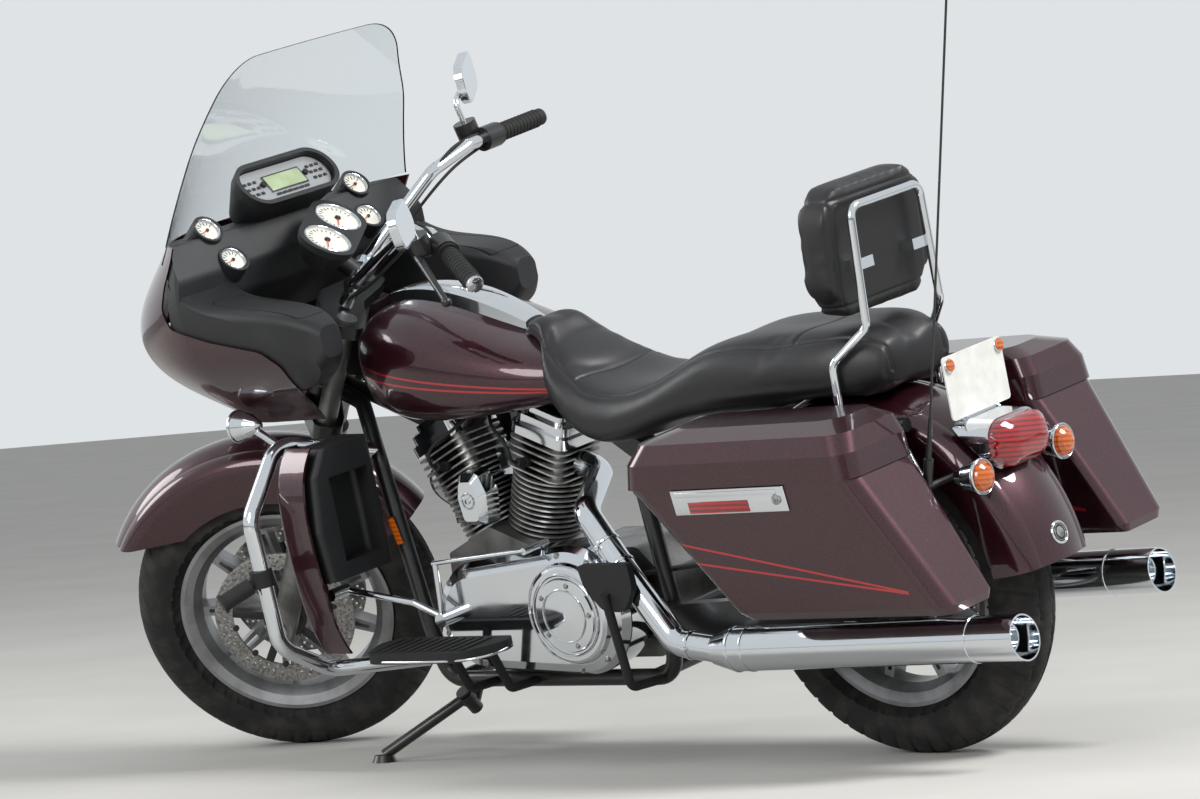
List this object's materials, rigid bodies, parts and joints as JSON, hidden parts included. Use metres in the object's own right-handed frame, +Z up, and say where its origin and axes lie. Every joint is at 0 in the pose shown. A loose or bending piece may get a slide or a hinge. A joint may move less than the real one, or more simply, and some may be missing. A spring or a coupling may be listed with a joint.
{
  "type": "touring cruiser motorcycle",
  "caption": "Touring cruiser motorcycle leaning on its side stand, with fairing, hard saddlebags, two-up seat and backrest; steering, wheels, stand, lids and small doors move.",
  "frame": {"origin": "on the floor under the middle of the leaning machine's box", "axes": "+X to the rear of the machine, +Y to the rider's right, +Z up from the floor"},
  "size_m": [2.388, 0.9414, 1.4606],
  "materials": {
    "paint": "dark cherry pearl, polished",
    "chrome": "bright plated",
    "alloy": "satin cast",
    "black_paint": "satin black",
    "fins": "black with bright edges",
    "steel": "ground",
    "tyre": "dusty black",
    "rubber": "matt",
    "black_plastic": "textured black",
    "leather": "smooth black",
    "clear": "clear",
    "amber_lens": "clear amber",
    "plate": "white",
    "silver": "satin silver"
  },
  "bodies": {
    "chassis": {"swingarm": "black_paint", "shock_absorbers": "chrome", "drive_belt": "rubber", "engine_cases": "silver", "cylinders": "fins", "engine_covers": "chrome", "air_cleaner": "chrome", "horn": "chrome", "primary_cover": "chrome", "exhaust": "chrome", "fuel_tank": "paint", "tank_console": "chrome", "fairing_shell": "paint", "fairing_dash": "black_plastic", "radio": "silver", "headlamp": "clear", "windshield": "clear", "seat": "leather", "backrest_pad": "leather", "backrest_frame": "chrome", "rear_fender": "paint", "tail_lamp": "chrome", "licence_plate": "plate", "signal_housings": "chrome", "lenses": "amber_lens", "saddlebag_left": "paint", "saddlebag_right": "paint", "guards": "chrome", "leg_shields": "paint", "shield_pockets": "black_plastic", "footrests": "rubber", "foot_controls": "chrome", "antenna": "black_paint", "frame": "black_paint"},
    "fork": {"fork_legs": "chrome", "triple_clamps": "black_paint", "handlebar": "chrome", "grips": "rubber", "switchgear": "black_paint", "mirrors": "chrome", "gauge_pod": "black_plastic", "front_calipers": "black_paint", "front_fender": "paint"},
    "front_wheel": {"front_tyre": "tyre", "front_wheel": "alloy", "front_discs": "steel"},
    "rear_wheel": {"rear_tyre": "tyre", "rear_wheel": "alloy", "rear_disc": "steel", "rear_pulley": "alloy"},
    "stand": {"side_stand": "chrome"},
    "lid_left": {"bag_lid_left": "paint"},
    "lid_right": {"bag_lid_right": "paint"},
    "glove_left": {"glove_door_left": "black_plastic"},
    "glove_right": {"glove_door_right": "black_plastic"},
    "filler_door": {"fuel_door": "chrome"}
  },
  "joints": [
    {"name": "steer", "type": "hinge", "parent": "chassis", "child": "fork", "pos_m": [-0.90725, 0.02901, 0.29989], "axis": [-0.4302, 0.1723, -0.8862], "range_deg": [0, 65.6]},
    {"name": "front_wheel_spin", "type": "hinge", "parent": "fork", "child": "front_wheel", "pos_m": [-0.90725, 0.02901, 0.29989], "axis": [-0.489, 0.7807, 0.3891], "continuous": true},
    {"name": "rear_wheel_spin", "type": "hinge", "parent": "chassis", "child": "rear_wheel", "pos_m": [0.70567, 0.02582, 0.31631], "axis": [0, 0.9816, 0.1908], "continuous": true},
    {"name": "stand_fold", "type": "hinge", "parent": "chassis", "child": "stand", "pos_m": [-0.30581, -0.0966, 0.11807], "axis": [0.0158, -0.7417, 0.6705], "range_deg": [0, 124]},
    {"name": "lid_left_hinge", "type": "hinge", "parent": "chassis", "child": "lid_left", "pos_m": [0.67302, -0.41327, 0.52609], "axis": [1, -0.0017, 0.009], "range_deg": [0, 80]},
    {"name": "lid_right_hinge", "type": "hinge", "parent": "chassis", "child": "lid_right", "pos_m": [0.67302, 0.35436, 0.67531], "axis": [-1, 0.0017, -0.009], "range_deg": [0, 80]},
    {"name": "glove_left_hinge", "type": "hinge", "parent": "chassis", "child": "glove_left", "pos_m": [-0.49442, -0.42195, 0.90353], "axis": [0.9841, 0.0339, -0.1746], "range_deg": [0, 70]},
    {"name": "glove_right_hinge", "type": "hinge", "parent": "chassis", "child": "glove_right", "pos_m": [-0.49442, 0.22101, 1.02851], "axis": [-0.9841, -0.0339, 0.1746], "range_deg": [0, 70]},
    {"name": "filler_door_hinge", "type": "hinge", "parent": "chassis", "child": "filler_door", "pos_m": [-0.28612, -0.09429, 0.93422], "axis": [0, -0.9816, -0.1908], "range_deg": [0, 95]}
  ]
}
